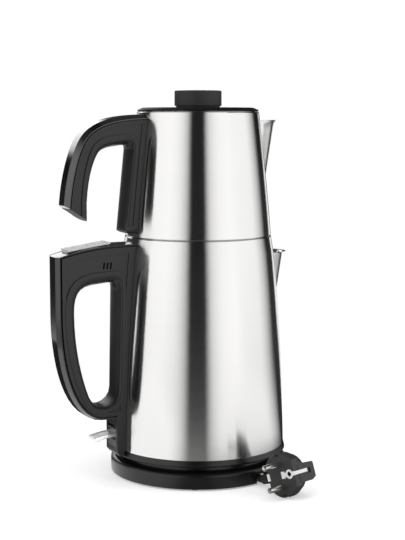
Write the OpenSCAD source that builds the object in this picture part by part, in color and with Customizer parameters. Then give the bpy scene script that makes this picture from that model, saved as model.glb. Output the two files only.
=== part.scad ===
// Electric two-tier tea maker: a steel kettle on a cordless power base, a steel teapot that
// stands in the kettle's mouth, a tea basket and a black lid, and the mains lead with its plug.
// Millimetres, +Z up. The origin is on the table, on the axis of the vessels.
// The handles point to -X and the spouts to +X.

/* [Power base] */
// Radius of the round base
base_r = 80; // [78:0.5:90]
// Height of the base's rim above the table
base_h = 15.7; // [15:0.1:18]
// Wall of the plastic mouldings
plastic_wall = 2; // [1.6:0.1:2.4]
// Height of the rubber feet
foot_h = 1.5; // [1:0.1:2]
// Radius of the feet
foot_r = 5.5; // [4:0.5:6]
// Radius of the tower that carries the current
tower_r = 19.1; // [17:0.1:21]
// Height of the tower's top above the table
tower_top = 33.1; // [31:0.1:35]

/* [Kettle] */
// Radius of the steel wall at the foot
kettle_foot_r = 78.3; // [76:0.1:79]
// Radius where the shoulder begins
kettle_shoulder_r = 69.2; // [68:0.1:72]
// Radius of the mouth
kettle_mouth_r = 66.2; // [66:0.1:68]
// Outward bow of the wall between foot and shoulder
kettle_bow = 1.7; // [0.5:0.1:3]
// Height of the steel wall's lower edge
kettle_foot_z = 26.3; // [25:0.1:28]
// Height where the shoulder begins
kettle_shoulder_z = 193.7; // [185:0.1:200]
// Height of the mouth
kettle_mouth_z = 214.4; // [212:0.1:218]
// Thickness of the sheet steel
steel_wall = 1; // [0.8:0.1:1.2]
// Height of the heated floor
kettle_floor_z = 46; // [44:0.5:52]

/* [Kettle handle] */
// Width of the kettle handle
handle_w = 26; // [24:0.5:28]
// Reach of the handle from the axis
handle_reach = 139.5; // [136:0.1:142]
// Width of the flat on the handle's back
handle_flat_w = 13.4; // [12:0.1:17]
// Depth of the back cover
spine_depth = 2.8; // [2.4:0.1:4]
// Distance of the handle's foot beyond the steel's lower edge
handle_foot_out = 7.1; // [6.8:0.1:8.4]
// Length of the key panel
panel_len = 39.2; // [36:0.1:42]
// Width of the key panel
panel_w = 18.6; // [16:0.1:20]
// Distance of the panel's middle from the handle's back
panel_back = 31; // [29:0.5:33]
// Travel of a key
key_travel = 0.8; // [0.5:0.1:1.2]
// Length of the power lever beyond the handle's foot
lever_out = 19.4; // [12:0.2:20.6]

/* [Teapot] */
// Radius of the teapot at its lower edge
teapot_foot_r = 66; // [65:0.1:67]
// Radius of the teapot's mouth
teapot_mouth_r = 54.7; // [53:0.1:57]
// Outward bow of the teapot's wall
teapot_bow = 0.6; // [0:0.1:2]
// Height of the teapot's lower edge above the kettle's mouth
teapot_gap = 1.5; // [1.5:0.1:2.5]
// Height of the teapot's wall
teapot_h = 108.9; // [105:0.1:112]
// Width of the teapot handle
hook_w = 24; // [22:0.5:26]
// Reach of the teapot handle from the axis
hook_reach = 131; // [128:0.1:134]

/* [Lid] */
// Radius of the lid
lid_r = 54.4; // [54.2:0.1:57]
// Thickness of the lid at its edge
lid_t = 3.4; // [3:0.1:4.5]
// Radius of the knob
knob_r = 21.1; // [16:0.1:26]
// Height of the knob
knob_h = 15.1; // [12:0.1:22]

/* [Mains lead] */
// Diameter of the lead
lead_d = 6.8; // [6:0.1:7.2]
// Radius of the plug's round front
plug_r = 19.2; // [18.6:0.1:19.6]
// Thickness of the plug's round front
plug_front_t = 13; // [12:0.5:14]
// Depth of the whole plug behind its front
plug_depth = 25.5; // [24:0.5:28]
// Radius of a plug pin
pin_r = 2.4; // [2.4:0.1:2.4]
// Length of a plug pin
pin_len = 19; // [19:0.5:19]
// Spacing of the plug pins
pin_spacing = 19; // [19:0.5:19]

/* [Hidden] */

$fn = 96;
// Gap between pieces that part from each other
part_gap = 0.3;
// Overshoot of a cut past the face it opens
cut = 1;

BLACK = [0.10, 0.10, 0.10];
STEEL = [0.80, 0.80, 0.79];

// ---- Curves and shells shared by several pieces ----

function lerp(a, b, t) = a + (b - a) * t;
function unit(v) = v / norm(v);
function bezier(p, t) =
    pow(1 - t, 3) * p[0] + 3 * t * pow(1 - t, 2) * p[1] + 3 * t * t * (1 - t) * p[2] + t * t * t * p[3];
// A cubic curve without its last point, so that curves join into one outline
function curve(p, n) = [for (i = [0:n - 1]) bezier(p, i / n)];
function side_normal(a, b) = let (d = unit(b - a)) [-d[1], d[0]];
// The corner of an outline moved sideways by d, with its mitre kept
function moved_corner(path, i, d) =
    let (last = len(path) - 1,
         n1 = side_normal(path[max(i - 1, 0)], path[max(i, 1)]),
         n2 = side_normal(path[min(i, last - 1)], path[min(i + 1, last)]),
         m = unit(n1 + n2))
    path[i] + m * d / (m * n1);
function moved(path, d) = [for (i = [0:len(path) - 1]) moved_corner(path, i, d)];
function reversed(v) = [for (i = [len(v) - 1:-1:0]) v[i]];

// A closed skin over rings of equal length
module skin(rings) {
    n = len(rings[0]);
    last = (len(rings) - 1) * n;
    polyhedron(
        points = [for (ring = rings) each ring],
        faces = concat(
            [[for (i = [0:n - 1]) i]],
            [[for (i = [n - 1:-1:0]) last + i]],
            [for (k = [0:len(rings) - 2], i = [0:n - 1])
                [k * n + i, (k + 1) * n + i, (k + 1) * n + (i + 1) % n]],
            [for (k = [0:len(rings) - 2], i = [0:n - 1])
                [k * n + i, (k + 1) * n + (i + 1) % n, k * n + (i + 1) % n]]));
}

// A plate with an outline in reach and height, centred on the handle's plane
module handle_plate(outline, w) {
    rotate([90, 0, 0])
        linear_extrude(height = w, center = true)
            polygon([for (p = outline) [-p[0], p[1]]]);
}

// A bar along Y at a reach and a height
module cross_bar(reach, z, r, len) {
    translate([-reach, 0, z]) rotate([90, 0, 0]) cylinder(h = len, r = r, center = true);
}

// ---- Vessel walls ----

function kettle_foot_span() = kettle_shoulder_z - kettle_foot_z;
function kettle_slope() =
    (kettle_foot_r - kettle_shoulder_r + 4 * kettle_bow) / kettle_foot_span();
function kettle_body_r(t) =
    lerp(kettle_foot_r, kettle_shoulder_r, t) + 4 * kettle_bow * t * (1 - t);
function kettle_neck_r(u) =
    let (neck_h = kettle_mouth_z - kettle_shoulder_z,
         drop = kettle_shoulder_r - kettle_mouth_r - kettle_slope() * neck_h)
    kettle_shoulder_r - kettle_slope() * u - drop * pow(u / neck_h, 2);
// Outer radius of the kettle at height z
function kettle_r(z) =
    z < kettle_shoulder_z ? kettle_body_r((z - kettle_foot_z) / kettle_foot_span())
                          : kettle_neck_r(z - kettle_shoulder_z);

teapot_foot_z = kettle_mouth_z + teapot_gap;
teapot_mouth_z = teapot_foot_z + teapot_h;
// A side view drawn for one wall radius, reach and foot height, fitted to the real ones
function fitted(p, drawn, real) =
    [for (q = p) [lerp(real[0], real[1], (q[0] - drawn[0]) / (drawn[1] - drawn[0])),
                  q[1] + real[2] - drawn[2]]];

// Outer radius of the teapot at height z
function teapot_r(z) =
    let (t = (z - teapot_foot_z) / teapot_h)
    lerp(teapot_foot_r, teapot_mouth_r, t) + 4 * teapot_bow * t * (1 - t);

wall_steps = 16;
function kettle_side(z0, z1, inset) =
    [for (i = [0:wall_steps]) let (z = lerp(z0, z1, i / wall_steps)) [kettle_r(z) - inset, z]];
function teapot_side(z0, z1, inset) =
    [for (i = [0:wall_steps]) let (z = lerp(z0, z1, i / wall_steps)) [teapot_r(z) - inset, z]];

module kettle_solid(grow) {
    rotate_extrude()
        polygon(concat([[0, kettle_foot_z - cut]],
                       kettle_side(kettle_foot_z - cut, kettle_mouth_z + cut, -grow),
                       [[0, kettle_mouth_z + cut]]));
}

module teapot_solid(grow) {
    rotate_extrude()
        polygon(concat([[0, teapot_foot_z - cut]],
                       teapot_side(teapot_foot_z - cut, teapot_mouth_z + cut, -grow),
                       [[0, teapot_mouth_z + cut]]));
}

// ---- Power base ----

deck_bottom = base_h - plastic_wall;
plate_t = 1.5;
plate_z = deck_bottom - 2 - plate_t;
rim_round = 3.5;
seat_r = base_r - 13;
seat_w = 3;
notch_w = lead_d + 3;
notch_h = lead_d + 2.6;
notch_angle = -71.8;
tower_seat_z = plate_z + plate_t;

// The collar's underside rests on the seat ring
collar_low_z = kettle_foot_z - 5.7;
underside_z = collar_low_z + 0.8;

module base_cover() {
    color(BLACK)
        difference() {
            rotate_extrude()
                polygon(concat(
                    [[base_r, foot_h]],
                    curve([[base_r, base_h - rim_round], [base_r, base_h - 1], [base_r - 2.5, base_h],
                           [base_r - 5, base_h]], 6),
                    [[base_r - 5, base_h], [seat_r + seat_w, base_h],
                     [seat_r + seat_w - 0.6, underside_z - part_gap],
                     [seat_r + 0.6, underside_z - part_gap], [seat_r, base_h],
                     [tower_r + part_gap + 6, base_h], [tower_r + part_gap + 4, base_h + 1.5],
                     [tower_r + part_gap, base_h + 1.5], [tower_r + part_gap, deck_bottom],
                     [base_r - rim_round - 1, deck_bottom], [base_r - plastic_wall, deck_bottom - 2],
                     [base_r - plastic_wall, foot_h]]));
            // Notch where the lead leaves the skirt
            rotate([0, 0, notch_angle])
                translate([base_r - 6, -notch_w / 2, foot_h - cut])
                    cube([12, notch_w, notch_h + cut - foot_h]);
        }
}

hub_r = 49.4;
hub_wall = 2.5;
lip_t = 1;
lip_z = 1;
mouth_top = 0.6;
winding_z = lip_z + lip_t;

module base_plate() {
    color(BLACK)
        difference() {
            union() {
                translate([0, 0, plate_z]) cylinder(h = plate_t, r = base_r - plastic_wall - 0.2);
                // Hub of the cord winder
                translate([0, 0, lip_z]) cylinder(h = plate_z - lip_z + 0.5, r = hub_r);
                // Four lips that keep the winding on the hub
                for (a = [45:90:315])
                    rotate([0, 0, a])
                        translate([0, -7, lip_z]) cube([hub_r + 5, 14, lip_t]);
                // Pads over the feet
                for (a = foot_angles)
                    rotate([0, 0, a])
                        translate([foot_ring_r, 0, foot_pad_z])
                            cylinder(h = plate_z - foot_pad_z + 0.5, r = foot_r);
            }
            translate([0, 0, lip_z - cut]) cylinder(h = plate_z - lip_z + cut, r = hub_r - hub_wall);
            // Mouth in the hub for the inner end of the lead
            rotate([0, 0, gland_angle])
                translate([hub_r - hub_wall - 3, -5, lip_z - cut])
                    cube([hub_wall + 6, 13, plate_z - mouth_top - lip_z + cut]);
            for (a = screw_angles)
                rotate([0, 0, a])
                    translate([screw_ring_r, 0, plate_z - cut])
                        cylinder(h = plate_t + 2 * cut, r = screw_r + 0.2);
        }
}

foot_ring_r = base_r - 8.5;
foot_angles = [62, 152, 242, 332];
foot_pad_z = foot_h - 0.5;
module base_feet() {
    color([0.16, 0.16, 0.16])
        for (a = foot_angles)
            rotate([0, 0, a])
                translate([foot_ring_r, 0, 0])
                    rotate_extrude()
                        polygon([[0, 0], [foot_r - 1, 0], [foot_r - 0.6, foot_pad_z],
                                 [0, foot_pad_z]]);
}

screw_r = 1.5;
screw_ring_r = 24;
screw_angles = [75, 195, 315];
module base_screws() {
    color([0.62, 0.62, 0.62])
        for (a = screw_angles)
            rotate([0, 0, a])
                translate([screw_ring_r, 0, 0]) {
                    translate([0, 0, plate_z - 1.6]) cylinder(h = 1.6, r = 2.8);
                    translate([0, 0, plate_z - 0.1]) cylinder(h = 3.4, r = screw_r);
                }
}

recess_r = 7.4;
recess_depth = 3;
groove_in = 9.4;
groove_out = 12.4;
groove_depth = 9;
module base_socket() {
    color([0.14, 0.14, 0.14])
        difference() {
            union() {
                translate([0, 0, tower_seat_z])
                    rotate_extrude()
                        polygon([[0, 0], [tower_r + 8, 0], [tower_r + 8, deck_bottom - tower_seat_z],
                                 [tower_r, deck_bottom - tower_seat_z],
                                 [tower_r, tower_top - tower_seat_z - 1],
                                 [tower_r - 1, tower_top - tower_seat_z], [0, tower_top - tower_seat_z]]);
            }
            translate([0, 0, tower_top - recess_depth]) cylinder(h = recess_depth + cut, r = recess_r);
            translate([0, 0, tower_top - 11]) cylinder(h = 11, r = pin_hole_r);
            translate([0, 0, tower_top - groove_depth])
                difference() {
                    cylinder(h = groove_depth + cut, r = groove_out);
                    translate([0, 0, -cut]) cylinder(h = groove_depth + 3 * cut, r = groove_in);
                }
            for (a = screw_angles)
                rotate([0, 0, a])
                    translate([screw_ring_r, 0, tower_seat_z - cut])
                        cylinder(h = 1.8 + cut, r = screw_r + 0.1);
        }
}

pin_hole_r = 2.7;
module socket_contacts() {
    color([0.80, 0.62, 0.30]) {
        translate([0, 0, tower_top - groove_depth])
            difference() {
                cylinder(h = 1, r = groove_out - 0.2);
                translate([0, 0, -cut]) cylinder(h = 1 + 2 * cut, r = groove_in + 0.2);
            }
        translate([0, 0, tower_top - 11]) cylinder(h = 1, r = pin_hole_r - 0.1);
    }
}

shutter_t = 2.5;
module socket_shutter() {
    color([0.75, 0.20, 0.15])
        translate([0, 0, tower_top - recess_depth + part_gap])
            difference() {
                cylinder(h = shutter_t, r = recess_r - part_gap);
                translate([0, 0, -cut]) cylinder(h = shutter_t + 2 * cut, r = pin_hole_r);
            }
}

// ---- Mains lead and plug ----

lead_r = lead_d / 2;
winding_in = hub_r + 0.6;
winding_out = 64;
gland_angle = -97;

module cord_winding() {
    color(BLACK)
        translate([0, 0, winding_z])
            rotate_extrude()
                polygon([[winding_in + 1, 0], [winding_out - 1, 0], [winding_out, 1],
                         [winding_out, lead_d - 1], [winding_out - 1, lead_d],
                         [winding_in + 1, lead_d], [winding_in, lead_d - 1], [winding_in, 1]]);
}

gland_h = plate_z - winding_z - 0.2;
// Gland that grips the inner end of the lead inside the hub
module cord_gland() {
    color([0.14, 0.14, 0.14])
        rotate([0, 0, gland_angle])
            translate([0, 0, winding_z + 0.2])
                difference() {
                    translate([hub_r, 7.4, 0])
                        rotate([90, 0, 0])
                            linear_extrude(height = 12)
                                polygon([[-hub_wall - 9, 0], [-0.1, 0],
                                         [-0.1, gland_h - mouth_top - part_gap],
                                         [-hub_wall - part_gap, gland_h - mouth_top - part_gap],
                                         [-hub_wall - part_gap, gland_h], [-hub_wall - 9, gland_h]]);
                    translate([hub_r - hub_wall - 5, 8, lead_d / 2 - 0.2])
                        rotate([90, 0, 0]) cylinder(h = 8, r = 1.6);
                }
}

// Points of the lead from the plug to the winding, laid by hand
lead_route = [[31.1, -98.9, 12], [28.7, -91.7, 9.4], [26.3, -84.6, 6.8], [24.7, -78.6, 5.3],
              [24.3, -72.6, 4.9], [24.9, -66.8, 5], [26.6, -61.2, 5.2], [29.4, -56, 5.3],
              [33, -51.4, 5.4]];
tube_sides = 10;

function heading(path, i) =
    unit(path[min(i + 1, len(path) - 1)] - path[max(i - 1, 0)]);
function ring_at(p, d, r) =
    let (side = unit(cross(d, [0, 0, 1])), up = cross(side, d))
    [for (k = [0:tube_sides - 1])
        let (a = 360 * k / tube_sides) p + r * (cos(a) * side + sin(a) * up)];

module power_cord() {
    color(BLACK)
        skin([for (i = [0:len(lead_route) - 1])
                ring_at(lead_route[i], heading(lead_route, i), lead_r)]);
}

// The plug lies on the rim of its round front. In its own frame +X runs out along the pins,
// the pins stand in line along Z, and the earth clips lie on the flanks at -Y and +Y.
plug_pos = [20.8, -118.7];
plug_turn = 198.5;
plug_roll = 19.2;
module plug_frame() {
    translate([plug_pos[0], plug_pos[1], plug_r])
        rotate([0, 0, plug_turn])
            rotate([plug_roll, 0, 0])
                children();
}

bar_front = -6;
bar_low = -9.4;
bar_high = 6;
bar_near = 15.5;
bar_far = -17;
flank = 15.2;
key_groove = 5.4;
earth_hole_y = 10;
earth_hole_r = 2.4;
module plug_body() {
    color(BLACK)
        plug_frame()
            difference() {
                union() {
                    difference() {
                        rotate([0, -90, 0])
                            rotate_extrude()
                                polygon([[0, 0], [plug_r - 0.8, 0], [plug_r, 0.8], [plug_r, 7],
                                         [plug_r - 1.6, 7.8], [plug_r - 2.6, plug_front_t],
                                         [0, plug_front_t]]);
                        // Flats under the earth clips
                        for (s = [-1, 1])
                            translate([-20, s > 0 ? flank : -flank - 10, -20]) cube([30, 10, 40]);
                    }
                    // Bar behind the round front, from which the lead leaves sideways
                    translate([0, bar_near, 0])
                        rotate([90, 0, 0])
                            linear_extrude(height = bar_near - bar_far)
                                polygon([[bar_front, bar_low], [-plug_depth + 5, bar_low],
                                         [-plug_depth, bar_low + 2.2], [-plug_depth, bar_high - 1.2],
                                         [-plug_depth + 1.2, bar_high], [bar_front, bar_high]]);
                }
                // Key grooves above and below
                for (s = [-1, 1])
                    translate([-plug_front_t - cut, -key_groove / 2, s > 0 ? plug_r - 3 : -plug_r - 1])
                        cube([plug_front_t + 2 * cut, key_groove, 4]);
                for (s = [-1, 1])
                    translate([-11, 0, s * pin_spacing / 2])
                        rotate([0, 90, 0]) cylinder(h = 12, r = pin_r);
                translate([-11, earth_hole_y, 0]) rotate([0, 90, 0]) cylinder(h = 12, r = earth_hole_r);
                // Pocket at the rear end of the near clip
                translate([-20.5, bar_near - 1.2, -3]) cube([4, 2, 4.4]);
            }
}

module plug_pins() {
    color([0.82, 0.80, 0.76])
        plug_frame()
            for (s = [-1, 1])
                translate([-11, 0, s * pin_spacing / 2])
                    rotate([0, 90, 0])
                        rotate_extrude()
                            polygon([[0, 0], [pin_r, 0], [pin_r, 10 + pin_len],
                                     [pin_r - 1, 11 + pin_len], [0, 11 + pin_len]]);
}

clip_t = 0.6;
module plug_earth_clips() {
    color([0.85, 0.83, 0.78])
        plug_frame() {
            // Near clip: a tab and a ring round the earth hole on the front, then along the flank
            difference() {
                union() {
                    translate([0, 0.8, -3]) cube([clip_t, 4, 6]);
                    translate([0, 4, -1.7]) cube([clip_t, bar_near - 4 + clip_t, 3.4]);
                    translate([0, earth_hole_y, 0]) rotate([0, 90, 0]) cylinder(h = clip_t, r = 3.9);
                    translate([-16, bar_near, -1.5]) cube([16 + clip_t, clip_t, 3]);
                }
                translate([-cut, earth_hole_y, 0]) rotate([0, 90, 0]) cylinder(h = 4, r = 2.1);
            }
            // Far clip: folded over the front's edge
            translate([0, -bar_near - clip_t, -3.1]) cube([clip_t, 3, 6.2]);
            translate([bar_front, -bar_near - clip_t, -2.2]) cube([clip_t - bar_front, clip_t, 4.4]);
        }
}

sleeve_r = 5.2;
sleeve_end_r = 4.2;
sleeve_len = 20;
// Flexible sleeve that the lead leaves the plug through
module cord_sleeve() {
    color(BLACK)
        plug_frame()
            translate([-16, bar_far, (bar_low + bar_high) / 2])
                rotate([90, 0, 0])
                    difference() {
                        cylinder(h = sleeve_len, r1 = sleeve_r, r2 = sleeve_end_r);
                        translate([0, 0, -cut]) cylinder(h = sleeve_len + 2 * cut, r = lead_r);
                        for (z = [4:3.6:16]) translate([0, 0, z]) sleeve_groove();
                    }
}

module sleeve_groove() {
    difference() {
        cylinder(h = 1.4, r = sleeve_r + cut);
        translate([0, 0, -cut]) cylinder(h = 1.4 + 2 * cut, r = sleeve_end_r - 0.3);
    }
}

// ---- Kettle ----

rim_bead = 1.2;

// Half-cone beak on a wall: radius r0 at z0 grows towards r1 at z1, and a curved lip flares out
module beak(cx, z0, r0, z1, r1, lip_h, flare, thin) {
    lip_z = z1 - lip_h;
    lip_r = lerp(r0, r1, (lip_z - z0) / (z1 - z0));
    open_z = z1 + (thin > 0 ? 0.01 : 0);
    lip = curve([[lip_r, lip_z], [lerp(lip_r, r1, 0.5), z1 - lip_h / 2], [r1, z1 - lip_h / 4],
                 [r1 + flare, z1]], 6);
    translate([cx, 0, 0])
        rotate_extrude()
            polygon(concat([[0, z0], [r0 - thin, z0]],
                           [for (p = lip) [p[0] - thin, p[1]]],
                           [[r1 + flare - thin, open_z], [0, open_z]]));
}

beak_wall = 0.8;
kettle_beak_x = 68;
kettle_beak_z0 = 122;
kettle_beak_z1 = 198;
kettle_beak_r0 = 6.6;
kettle_beak_r1 = 17.6;
kettle_lip_flare = 2.8;
kettle_lip_h = 2.4;

module kettle_shell() {
    color(STEEL)
        difference() {
            rotate_extrude() {
                polygon(concat(kettle_side(kettle_foot_z, kettle_mouth_z, 0),
                               reversed(kettle_side(kettle_foot_z, kettle_mouth_z, steel_wall))));
                translate([kettle_mouth_r - rim_bead, kettle_mouth_z]) circle(r = rim_bead, $fn = 24);
            }
            // V-shaped mouth behind the beak
            translate([kettle_beak_x, 0, kettle_beak_z0])
                cylinder(h = kettle_beak_z1 - kettle_beak_z0 - 4, r1 = kettle_beak_r0 - 3,
                         r2 = kettle_beak_r1 - 4);
        }
}

module kettle_spout() {
    color(STEEL)
        difference() {
            beak(kettle_beak_x, kettle_beak_z0, kettle_beak_r0, kettle_beak_z1, kettle_beak_r1,
                 kettle_lip_h, kettle_lip_flare, 0);
            beak(kettle_beak_x, kettle_beak_z0, kettle_beak_r0, kettle_beak_z1, kettle_beak_r1,
                 kettle_lip_h, kettle_lip_flare, beak_wall);
            kettle_solid(0);
        }
}

floor_r = kettle_r(kettle_floor_z) - steel_wall - 0.05;
module kettle_floor() {
    color(STEEL)
        translate([0, 0, kettle_floor_z])
            rotate_extrude()
                polygon([[0, 0], [floor_r - 1, 0], [floor_r - 1, -6], [floor_r, -6], [floor_r, 0.6],
                         [floor_r - 0.6, 1.2], [0, 1.2]]);
}

spreader_r = 58;
spreader_t = 3;
spreader_z = kettle_floor_z - spreader_t;
module heat_spreader() {
    color([0.75, 0.75, 0.77])
        translate([0, 0, spreader_z]) cylinder(h = spreader_t, r = spreader_r);
}

element_r = 4;
element_ring_r = 46;
module heating_element() {
    color([0.55, 0.53, 0.50]) {
        translate([0, 0, spreader_z - element_r])
            rotate([0, 0, 30])
                rotate_extrude(angle = 300)
                    translate([element_ring_r, 0]) circle(r = element_r, $fn = 32);
        for (a = [36, 324])
            rotate([0, 0, a])
                translate([element_ring_r, 0, spreader_z - element_r - 9])
                    cylinder(h = 9, r = element_r - 0.5, $fn = 32);
    }
}

cup_r = 24.9;
cup_bore_r = tower_r + 0.5;
cup_ceiling_z = tower_top + part_gap;
cup_top_z = cup_ceiling_z + 3.2;
thermostat_r = 13;
module thermostat_disc() {
    color([0.78, 0.76, 0.70])
        translate([0, 0, cup_top_z]) cylinder(h = spreader_z - cup_top_z, r = thermostat_r);
}

contact_pin_r = 2.3;
blade_in = 10.4;
blade_out = 11.4;
underside_t = 1.8;
module kettle_connector() {
    color([0.20, 0.20, 0.20])
        difference() {
            rotate_extrude()
                polygon([[0, cup_ceiling_z], [cup_bore_r, cup_ceiling_z], [cup_bore_r, underside_z],
                         [cup_r, underside_z], [cup_r, underside_z + underside_t],
                         [cup_r + 5, underside_z + underside_t], [cup_r + 5, underside_z + underside_t + 2],
                         [cup_r, underside_z + underside_t + 2], [cup_r, cup_top_z], [0, cup_top_z]]);
            translate([0, 0, cup_ceiling_z - cut]) cylinder(h = 5, r = contact_pin_r);
            translate([0, 0, cup_ceiling_z - cut])
                difference() {
                    cylinder(h = cut + 1.5, r = blade_out);
                    translate([0, 0, -cut]) cylinder(h = 5, r = blade_in);
                }
        }
}

module connector_pins() {
    color([0.80, 0.62, 0.30]) {
        translate([0, 0, tower_top - 9])
            rotate_extrude()
                polygon([[0, 0], [contact_pin_r - 0.8, 0], [contact_pin_r, 1.2],
                         [contact_pin_r, 9 + part_gap + 3], [0, 9 + part_gap + 3]]);
        translate([0, 0, tower_top - 6])
            difference() {
                cylinder(h = 6 + part_gap + 1.5, r = blade_out);
                translate([0, 0, -cut]) cylinder(h = 20, r = blade_in);
            }
    }
}

collar_r = kettle_foot_r + 1.3;
underside_r = 73;
module kettle_collar() {
    color(BLACK)
        rotate_extrude()
            polygon([[underside_r, collar_low_z], [collar_r - 0.6, collar_low_z],
                     [collar_r, collar_low_z + 0.6], [collar_r, collar_low_z + 1.4],
                     [kettle_foot_r + 0.2, kettle_foot_z],
                     [kettle_foot_r - steel_wall - 0.3, kettle_foot_z],
                     [kettle_foot_r - steel_wall - 0.3, kettle_foot_z + 8],
                     [kettle_foot_r - steel_wall - 1.8, kettle_foot_z + 8],
                     [kettle_foot_r - steel_wall - 1.8, underside_z + underside_t + 1.6],
                     [underside_r - 5, underside_z + underside_t + 1.6],
                     [underside_r - 5, underside_z + underside_t],
                     [underside_r, underside_z + underside_t]]);
}

underside_screw_r = 57;
module kettle_underside() {
    color(BLACK)
        difference() {
            union() {
                translate([0, 0, underside_z]) cylinder(h = underside_t, r = underside_r - 0.1);
                // Bosses for the three screws
                for (a = [0:120:240])
                    rotate([0, 0, a])
                        translate([underside_screw_r, 0, underside_z]) cylinder(h = 12, r = 4);
            }
            translate([0, 0, underside_z - cut]) cylinder(h = underside_t + 2 * cut, r = cup_r + 0.1);
            for (a = [0:120:240])
                rotate([0, 0, a])
                    translate([underside_screw_r, 0, underside_z - cut]) {
                        cylinder(h = 2.2 + cut, r = 3);
                        cylinder(h = 9 + cut, r = screw_r);
                    }
        }
}

module underside_screws() {
    color([0.62, 0.62, 0.62])
        for (a = [0:120:240])
            rotate([0, 0, a])
                translate([underside_screw_r, 0, underside_z]) {
                    translate([0, 0, 0.6]) cylinder(h = 1.6, r = 2.8);
                    translate([0, 0, 2.2]) cylinder(h = 6, r = screw_r);
                }
}

// ---- Kettle handle ----

handle_half = handle_w / 2;
// Dark groove between a handle's moulding and its back cover
groove_w = 1.5;
groove_d = 3;
handle_foot_reach = kettle_foot_r + handle_foot_out;
handle_top_reach0 = kettle_mouth_r - 6.2;
handle_drawn = [78.3, 139.5, 26.3];
handle_real = [kettle_foot_r, handle_reach, kettle_foot_z];
top_fall = 0.000207;
handle_top_z0 = kettle_mouth_z - 3.1;
// Height of the handle's top at a reach: level at the wall, falling faster towards the back
function handle_top_z(reach) =
    handle_top_z0 - top_fall * pow(max(0, reach - kettle_mouth_r), 2.5);

handle_low_z = kettle_foot_z + 29;
handle_turn_reach = lerp(handle_foot_reach, handle_reach, 0.231);
handle_bend_z = 150;
top_last = 12;
// The back of the handle: from the wall over the top, round the grip and back to the foot
handle_back = concat(
    [for (i = [0:top_last])
        let (r = lerp(handle_top_reach0, handle_reach, i / top_last)) [r, handle_top_z(r)]],
    curve([[handle_reach, handle_bend_z], [handle_reach, handle_bend_z - 40],
           [handle_reach - 10, handle_low_z + 1.8], [handle_turn_reach, handle_low_z]], 14),
    [[handle_turn_reach, handle_low_z], [handle_foot_reach, handle_low_z]]);

// The hole for the fingers, at the handle's middle plane and at its cheeks
hole_mid = fitted(concat(
    curve([[108.6, 77], [115.4, 95], [121.2, 122], [121.2, 152]], 8),
    curve([[121.2, 152], [121.2, 165], [118.6, 173.4], [106, 175.3]], 6),
    [[106, 175.3]],
    curve([[90, 176.9], [85.6, 177.2], [82.6, 175.6], [82.5, 168]], 5),
    [[82.5, 168]],
    curve([[84.6, 83], [85, 66.6], [103, 63.6], [108.6, 77]], 8)), handle_drawn, handle_real);
hole_cheek = fitted(concat(
    curve([[113.6, 76], [121.4, 94], [129, 120], [129, 152]], 8),
    curve([[129, 152], [129, 170], [124.5, 181], [108, 183]], 6),
    [[108, 183]],
    curve([[89, 184.6], [83.6, 185], [80.5, 182.6], [80.3, 172]], 5),
    [[80.3, 172]],
    curve([[81.8, 81], [82.2, 64.6], [107.6, 61.2], [113.6, 76]], 8)), handle_drawn, handle_real);

// How far an opening has flared at distance w from the middle plane
flare_steps = [-1, -0.94, -0.82, -0.64, -0.35, 0, 0.35, 0.64, 0.82, 0.94, 1];
function flare(t) = 1 - sqrt(max(0, 1 - t * t));

// An opening whose edge is rounded from the middle plane out to both cheeks
module flared_opening(mid, cheek, half) {
    steps = concat([-1 - cut / half], flare_steps, [1 + cut / half]);
    skin([for (t = steps)
            [for (i = [0:len(mid) - 1])
                let (p = lerp(mid[i], cheek[i], flare(min(1, abs(t))))) [-p[0], t * half, p[1]]]]);
}

spine_edge = 0.8;
// A cover swept along a back: a flat outside, bevelled down to thin edges at the cheeks
module spine_cover(back, side, inner, flat_half, half) {
    skin([for (i = [0:len(back) - 1])
            [[-inner[i][0], -half, inner[i][1]], [-side[i][0], -half, side[i][1]],
             [-back[i][0], -flat_half, back[i][1]], [-back[i][0], flat_half, back[i][1]],
             [-side[i][0], half, side[i][1]], [-inner[i][0], half, inner[i][1]]]]);
}

top_depth = 1.2;
// The line under the back cover, and lines further in: shallower over the top than at the back
function under_cover(extra) =
    let (in = moved(handle_back, -spine_depth - extra))
    [for (i = [0:len(handle_back) - 1])
        let (r = min(handle_back[i][0], handle_reach - spine_depth - extra))
        i > top_last ? in[i] : [r, handle_top_z(r) - top_depth - extra]];

foot_low_z = kettle_foot_z - 3.9;
handle_root = kettle_mouth_r - 16.2;
// Side view of the handle's moulding, that far under the back cover
function handle_side(extra) = concat(
    under_cover(extra),
    [[handle_foot_reach, handle_low_z + spine_depth + extra], [handle_foot_reach, foot_low_z + 3],
     [handle_foot_reach - 2.5, foot_low_z], [handle_root, foot_low_z]]);

panel_reach = handle_reach - panel_back;
// Pocket under the back cover that holds the electronics
pocket_in = panel_reach - 24.5;
pocket_out = panel_reach + 18.5;
pocket_low = 187;
pocket_half = 8.4;
slot_reaches = [for (i = [0:2]) panel_reach - 18.4 + 3.2 * i];
slot_z = 192.9;

lever_pivot_reach = handle_foot_reach - 3.8;
lever_reach = handle_foot_reach + lever_out;
lever_pivot_z = 41;
housing_half = 9.4;
housing_low = 30;
housing_high = 49;

field_sink = 0.8;
field_border = 5;
// Outline of the sunk field: a border inside the moulding's outline
handle_field = moved(concat(
    handle_back,
    [[handle_foot_reach, foot_low_z + 10], [handle_root, foot_low_z + 10]]),
    -spine_depth - field_border);

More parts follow.
